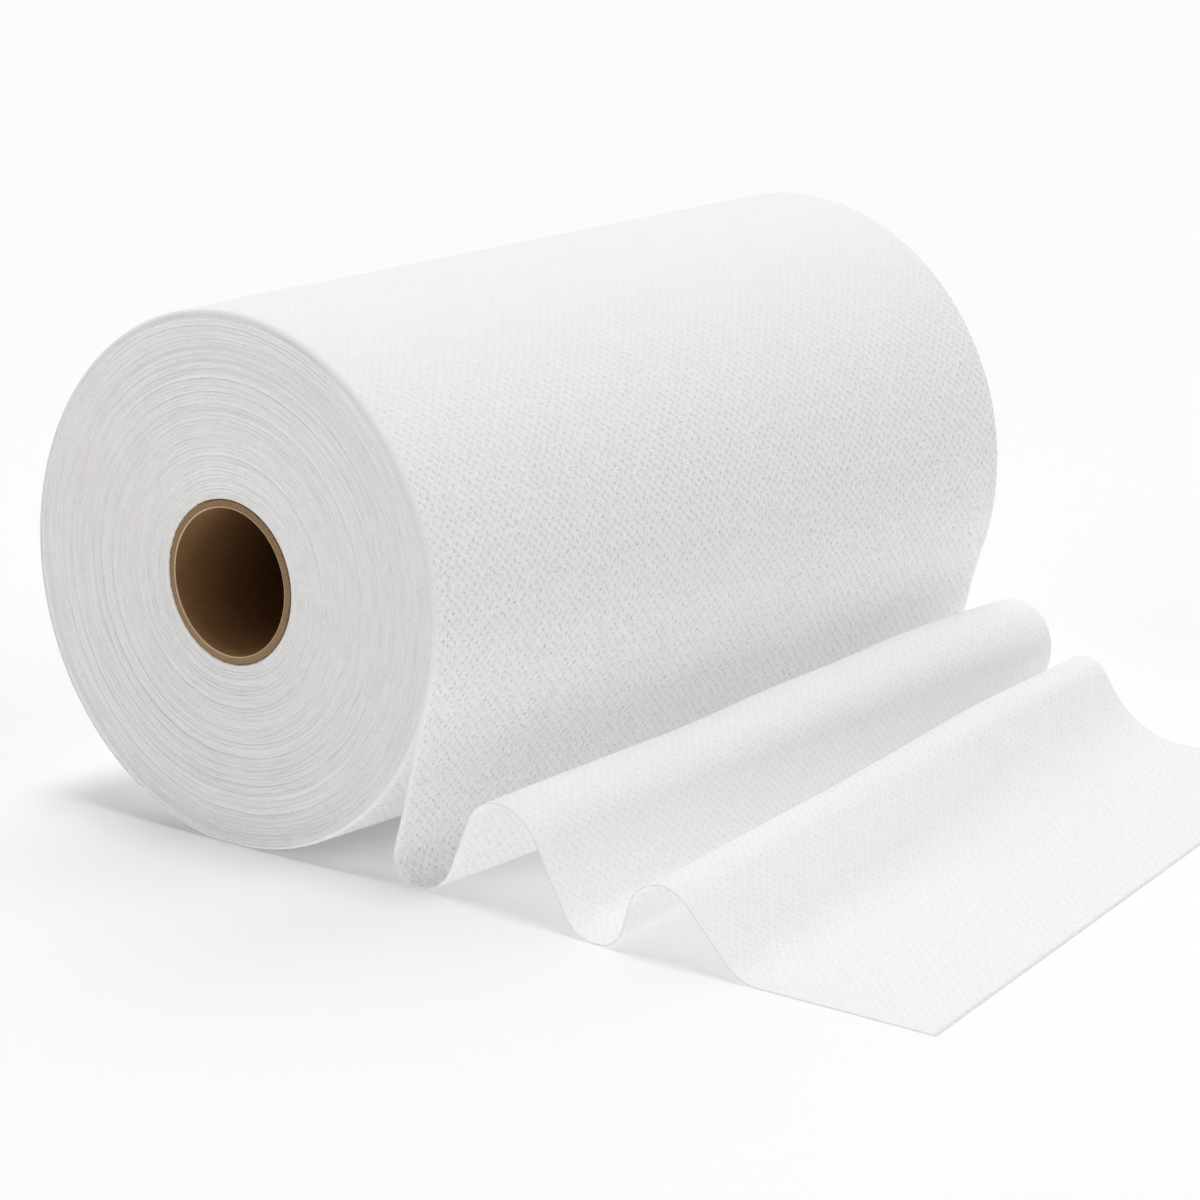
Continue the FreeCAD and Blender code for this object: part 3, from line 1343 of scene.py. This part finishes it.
@dataclass
class WoundTurns:
    """The paper under the outermost turn, with its turns showing at both ends.

    At each end the paper stands in rings, each with a slightly bowed crown that ends at two
    shares of its width, and a groove before the next. The turns stray a little, in radius
    by the wobble and along the roll by the stray, but not beside the core or the rim.
    """

    sizes: RollSizes
    rim: SoftRim
    tucked_in: float = math.radians(8.0)
    clearance: float = 0.04 * MM
    spokes: int = 300
    seed: int = 21
    core_gap: float = 0.05 * MM
    core_groove: Point = (0.1 * MM, 0.5 * MM)
    rim_gap: float = 0.2 * MM
    ring_widths: Point = (0.75 * MM, 1.3 * MM)
    crown: Point = (0.12, 0.82)
    bow: float = 0.04 * MM
    grooves: Point = (0.042 * MM, 0.14 * MM)
    first_recess: float = 0.2 * MM
    recess_change: float = 0.07 * MM
    deepest: float = 0.45 * MM
    held_by_core: Point = (1 * MM, 4 * MM)
    held_by_rim: Point = (-4 * MM, -2 * MM)
    wobble: Ripple = field(
        default_factory=lambda: Ripple.seeded(
            5, 7, 0.09 * MM, (FULL_TURN, FULL_TURN), (2 * MM, 14 * MM)
        )
    )
    stray: Ripple = field(
        default_factory=lambda: Ripple.seeded(
            6, 7, 0.05 * MM, (FULL_TURN, FULL_TURN), (1.5 * MM, 9 * MM)
        )
    )

    @property
    def full_radius(self) -> float:
        """The radius under the outermost turn where that turn goes over the roll."""
        return self.sizes.outer_radius - self.sizes.web_thickness - self.clearance

    def outline(self, angle: np.ndarray) -> np.ndarray:
        """The outline of the paper under the outermost turn, flat spot and all.

        Args:
            angle: angles about the roll's axis, up from +X.

        Returns:
            The radius at each angle.
        """
        thickness = self.sizes.web_thickness
        flat = -self.sizes.table_z - thickness - self.clearance
        end_of_turn = self.sizes.departure + self.tucked_in
        turned = np.mod(angle + QUARTER_TURN, FULL_TURN) - QUARTER_TURN
        circle = self.full_radius - np.where(turned < end_of_turn, thickness, 0.0)
        down = np.maximum(-np.sin(angle), NEARLY_NOTHING)
        return np.minimum(circle, flat / down)

    def ring_rows(self, end: End) -> list[Point]:
        """The rings of one end, from the core outwards.

        Args:
            end: which end of the roll.

        Returns:
            The (radius, recess) of each row of points.
        """
        draw = np.random.default_rng(self.seed + end.value)
        first = self.sizes.core_radius + self.core_gap
        last = self.sizes.outer_radius - self.sizes.web_thickness - self.rim.drop
        groove_width, groove_depth = self.core_groove
        rows = [(first, groove_depth)]
        radius = first + groove_width
        recess = self.first_recess
        while radius < last - self.ring_widths[1]:
            width = draw.uniform(*self.ring_widths)
            recess = float(np.clip(recess + draw.normal(0, self.recess_change), 0, self.deepest))
            rows.append((radius + self.crown[0] * width, recess))
            rows.append((radius + self.crown[1] * width, recess + self.bow))
            rows.append((radius + width, recess + draw.uniform(*self.grooves)))
            radius += width
        rows.append((last - self.rim_gap, recess))
        return rows

    def section(self) -> np.ndarray:
        """The section, as it goes round the roll's axis.

        Returns:
            The (radius, Y) of each row of points, once round the section.
        """
        half = self.sizes.half_width
        outer = self.sizes.outer_radius - self.sizes.web_thickness / 2
        away = -(self.sizes.web_thickness / 2 + self.clearance)
        inland, inwards = self.rim.place(self.rim.angles()[1:], away)
        rim_rows = list(zip(outer - inwards, inland))
        rows: list[Point] = []
        for end in (End.NEAR, End.FAR):
            from_end = self.ring_rows(end) + rim_rows
            placed = [(radius, end.value * (half - recess)) for radius, recess in from_end]
            rows += placed if end is End.NEAR else placed[::-1]
        return np.array(rows)

    def build(self) -> bpy.types.Object:
        """Makes the wound paper's mesh.

        Returns:
            The wound turns.
        """
        radii, ys = self.section().T[:, :, None]
        angle = spoke_angles(self.spokes)
        inner = self.sizes.core_radius
        stretch = (self.outline(angle) - inner) / (self.full_radius - inner)
        from_core = smooth_step(*self.held_by_core, radii - inner)
        loose = from_core * (1 - smooth_step(*self.held_by_rim, radii - self.full_radius))
        rows = radii + loose * self.wobble(angle, radii)
        rows = inner + (rows - inner) * stretch
        y = ys - np.sign(ys) * loose * np.abs(self.stray(angle, radii))
        return make_revolved("wound_turns", rows, y)


@dataclass
class CoreTube:
    """The paperboard tube that the paper is wound on.

    A sawn end is given as (distance, recess) from the bore at its lip, in plies with a
    step at each seam, and as (distance, recess) from the outside at its rim, which is frayed.
    """

    sizes: RollSizes
    spokes: int = 420
    bands: int = 12
    seed: int = 33
    lip: tuple[Point, ...] = ((0.0, 0.22 * MM), (0.06 * MM, 0.06 * MM), (0.2 * MM, 0.0))
    rim: tuple[Point, ...] = ((0.2 * MM, 0.1 * MM), (0.0, 0.28 * MM))
    last_seam: float = 0.3 * MM
    ply_recess: Point = (0.02 * MM, 0.12 * MM)
    seam_width: float = 0.1 * MM
    seam_step: float = 0.08 * MM
    rag: float = 0.22 * MM
    rag_worn: float = 0.3
    ragged: Point = (-0.35 * MM, 0.0)
    sawn: Point = (-1.0 * MM, -0.5 * MM)
    roughness: float = 0.03 * MM

    def end_rows(self, end: End) -> list[Point]:
        """The rows of points across one sawn end, from the bore outwards.

        Args:
            end: which end of the tube.

        Returns:
            The (radius, recess) of each row.
        """
        draw = np.random.default_rng(self.seed + end.value)
        bore, outer = self.sizes.bore_radius, self.sizes.core_radius
        rows = [(bore + distance, recess) for distance, recess in self.lip]
        radius = bore + self.sizes.ply
        while radius < outer - self.last_seam:
            recess = draw.uniform(*self.ply_recess)
            rows.append((radius - self.seam_width / 2, recess))
            rows.append((radius + self.seam_width / 2, recess + self.seam_step))
            radius += self.sizes.ply
        return rows + [(outer - distance, recess) for distance, recess in self.rim]

    def section(self) -> np.ndarray:
        """The section, as it goes round the roll's axis.

        Returns:
            The (radius, Y) of each row of points, once round the section.
        """
        half = self.sizes.half_width
        near = self.end_rows(End.NEAR)
        far = self.end_rows(End.FAR)
        rows = [(radius, recess - half) for radius, recess in near]
        rows += [(radius, half - recess) for radius, recess in reversed(far)]
        inside = np.linspace(half, -half, self.bands + 1)[1:-1]
        rows += [(self.sizes.bore_radius, y) for y in inside]
        return np.array(rows)

    def build(self) -> bpy.types.Object:
        """Makes the tube's mesh.

        Returns:
            The tube.
        """
        radii, ys = self.section().T[:, :, None]
        draw = np.random.default_rng(self.seed)
        fray = draw.normal(0.0, 1.0, self.spokes)
        fray = (np.roll(fray, 1) + 2 * fray + np.roll(fray, -1)) / 4
        outermost = smooth_step(*self.ragged, radii - self.sizes.core_radius)
        at_end = smooth_step(*self.sawn, np.abs(ys) - self.sizes.half_width)
        rows = radii + outermost * at_end * self.rag * (fray - self.rag_worn)
        rough = draw.normal(0.0, self.roughness, rows.shape)
        y = ys - np.sign(ys) * at_end * np.abs(rough)
        return make_revolved("paperboard_core", rows, y)


# ---- the stage -----------------------------------------------------------------------


@dataclass(frozen=True)
class Lamp:
    """A wide, distant lamp, with its azimuth, elevation and spread in degrees.

    Azimuth 0 is in front of the roll's near end. The strength is the brightness that the
    lamp gives a white surface. One that passes the web isn't held back by the free web.
    """

    name: str
    azimuth: float
    elevation: float
    spread: float
    strength: float
    passes_web: bool = False

    def hang(self) -> None:
        """Adds the lamp to the scene."""
        data = bpy.data.lights.new(self.name, "SUN")
        data.energy = self.strength * math.pi
        data.angle = math.radians(self.spread)
        lamp = bpy.data.objects.new(self.name, data)
        lamp.rotation_mode = "QUATERNION"
        towards = direction(math.radians(self.azimuth), math.radians(self.elevation))
        lamp.rotation_quaternion = towards.to_track_quat("Z", "Y")
        bpy.context.scene.collection.objects.link(lamp)


def direction(azimuth: float, elevation: float) -> Vector:
    """The direction to a place at an azimuth, from -Y towards +X, and an elevation."""
    level = math.cos(elevation)
    return Vector((math.sin(azimuth) * level, -math.cos(azimuth) * level, math.sin(elevation)))


LAMPS = (
    Lamp("overhead_lamp", azimuth=40, elevation=90, spread=20, strength=0.333),
    Lamp("back_lamp", azimuth=220, elevation=50, spread=60, strength=0.375),
    Lamp("side_lamp", azimuth=90, elevation=60, spread=60, strength=0.148, passes_web=True),
    Lamp("far_side_lamp", azimuth=120, elevation=20, spread=60, strength=0.247, passes_web=True),
    Lamp("end_lamp", azimuth=-25, elevation=15, spread=60, strength=0.24, passes_web=True),
    Lamp("table_lamp", azimuth=40, elevation=-90, spread=60, strength=0.22, passes_web=True),
)


@dataclass(frozen=True)
class Studio:
    """A plain pale floor, soft light and the camera."""

    table_z: float
    floor_gap: float = 0.08 * MM
    floor_size: float = 9.0
    floor_colour: Colour = (0.968, 0.970, 0.970, 1.0)
    floor_fleck: Colour = (0.969936, 0.97194, 0.97194, 1.0)
    flecks_in_a_metre: float = 900.0
    sky_strength: float = 0.1
    backdrop: Colour = (0.969, 0.974, 0.973, 1.0)
    lamps: tuple[Lamp, ...] = LAMPS
    azimuth: float = math.radians(40.02)
    elevation: float = math.radians(14.17)
    camera_distance: float = 1.33983
    aim_right: float = 0.018375
    aim_up: float = -0.028077
    lens: float = 140.67

    def lay_floor(self) -> None:
        """Lays the floor just under the part, clear to the table lamp's light from below."""
        half = self.floor_size / 2
        z = self.table_z - self.floor_gap
        corners = [(-half, -half), (half, -half), (half, half), (-half, half)]
        points = np.array([(x, y, z) for x, y in corners])
        floor = make_piece("floor", points, np.array([(0, 1, 2, 3)]))
        material, shader, surface = start_material("pale_floor", roughness=1.0, specular=0.0)
        place = shader.node("ShaderNodeTexCoord").outputs["Object"]
        fleck = shader.noise(place, self.flecks_in_a_metre, detail=2.0)
        colour = shader.blend(fleck, self.floor_colour, self.floor_fleck)
        shader.feed(surface, Base_Color=colour)
        clear = shader.node("ShaderNodeBsdfTransparent").outputs[0]
        shadow = shader.node("ShaderNodeLightPath").outputs["Is Shadow Ray"]
        shader.show(shader.either(shadow, surface.outputs[0], clear))
        floor.data.materials.append(material)

    def light(self) -> None:
        """Lights the stage with a faint plain sky and wide lamps."""
        world = bpy.data.worlds.new("plain_sky")
        bpy.context.scene.world = world
        world.use_nodes = True
        shader = Shader(world.node_tree)
        sky = world.node_tree.nodes["Background"]
        shader.feed(sky, Color=WHITE, Strength=self.sky_strength)
        seen = shader.node("ShaderNodeBackground")
        shader.feed(seen, Color=self.backdrop, Strength=1.0)
        rays = shader.node("ShaderNodeLightPath").outputs
        direct = shader.larger(rays["Is Camera Ray"], rays["Is Glossy Ray"])
        direct = shader.larger(direct, rays["Is Transmission Ray"])
        shader.show(shader.either(direct, sky.outputs[0], seen.outputs[0]))
        for lamp in self.lamps:
            lamp.hang()

    def let_low_lamps_past(self, web: bpy.types.Object) -> None:
        """Keeps the thin free web from holding back the low lamps' light.

        Args:
            web: the free web.
        """
        passed = bpy.data.collections.new("passed_by_low_lamps")
        passed.objects.link(web)
        passed.collection_objects[0].light_linking.link_state = "EXCLUDE"
        for lamp in self.lamps:
            if lamp.passes_web:
                bpy.data.objects[lamp.name].light_linking.blocker_collection = passed

    def place_camera(self) -> None:
        """Places the camera, looking down a little on the near end."""
        back = direction(self.azimuth, self.elevation)
        right = Vector((math.cos(self.azimuth), math.sin(self.azimuth), 0.0))
        up = back.cross(right)
        data = bpy.data.cameras.new("camera")
        data.lens = self.lens
        data.clip_end = 4 * self.floor_size
        camera = bpy.data.objects.new("camera", data)
        camera.location = (
            back * self.camera_distance + right * self.aim_right + up * self.aim_up
        )
        camera.rotation_mode = "QUATERNION"
        camera.rotation_quaternion = back.to_track_quat("Z", "Y")
        bpy.context.scene.collection.objects.link(camera)
        bpy.context.scene.camera = camera

    def set_up(self) -> None:
        """Puts up the floor, the light and the camera, with plain colours."""
        self.lay_floor()
        self.light()
        self.place_camera()
        bpy.context.scene.view_settings.view_transform = "Standard"


def dress(
    piece: bpy.types.Object, material: bpy.types.Material, node: str
) -> None:
    """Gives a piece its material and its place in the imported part.

    Args:
        piece: the piece.
        material: its finish.
        node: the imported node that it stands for.
    """
    piece.data.materials.append(material)
    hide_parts(node)
    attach(piece, "root")
    triangles = sum(len(face.vertices) - 2 for face in piece.data.polygons)
    log.info("%s stands for %s, %d triangles", piece.name, node, triangles)


def main() -> None:
    """Builds the stage and every piece, in order."""
    logging.basicConfig(level=logging.INFO, format="%(message)s")
    sizes = RollSizes.from_frame()
    studio = Studio(sizes.table_z)
    studio.set_up()
    groups = SharedGroups.build()
    rim = SoftRim()
    core = CoreTube(sizes).build()
    dress(core, KraftBoard(sizes).material(groups), "core_tube")
    turns = WoundTurns(sizes, rim).build()
    dress(turns, TurnEdges().material(groups), "paper_roll")
    free_web = FreeWeb(sizes, rim)
    web = free_web.build()
    dress(web, EmbossedPaper(sizes).material(groups), "paper_roll")
    free_web.declare()
    studio.let_low_lamps_past(web)


if __name__ == "__main__":
    main()
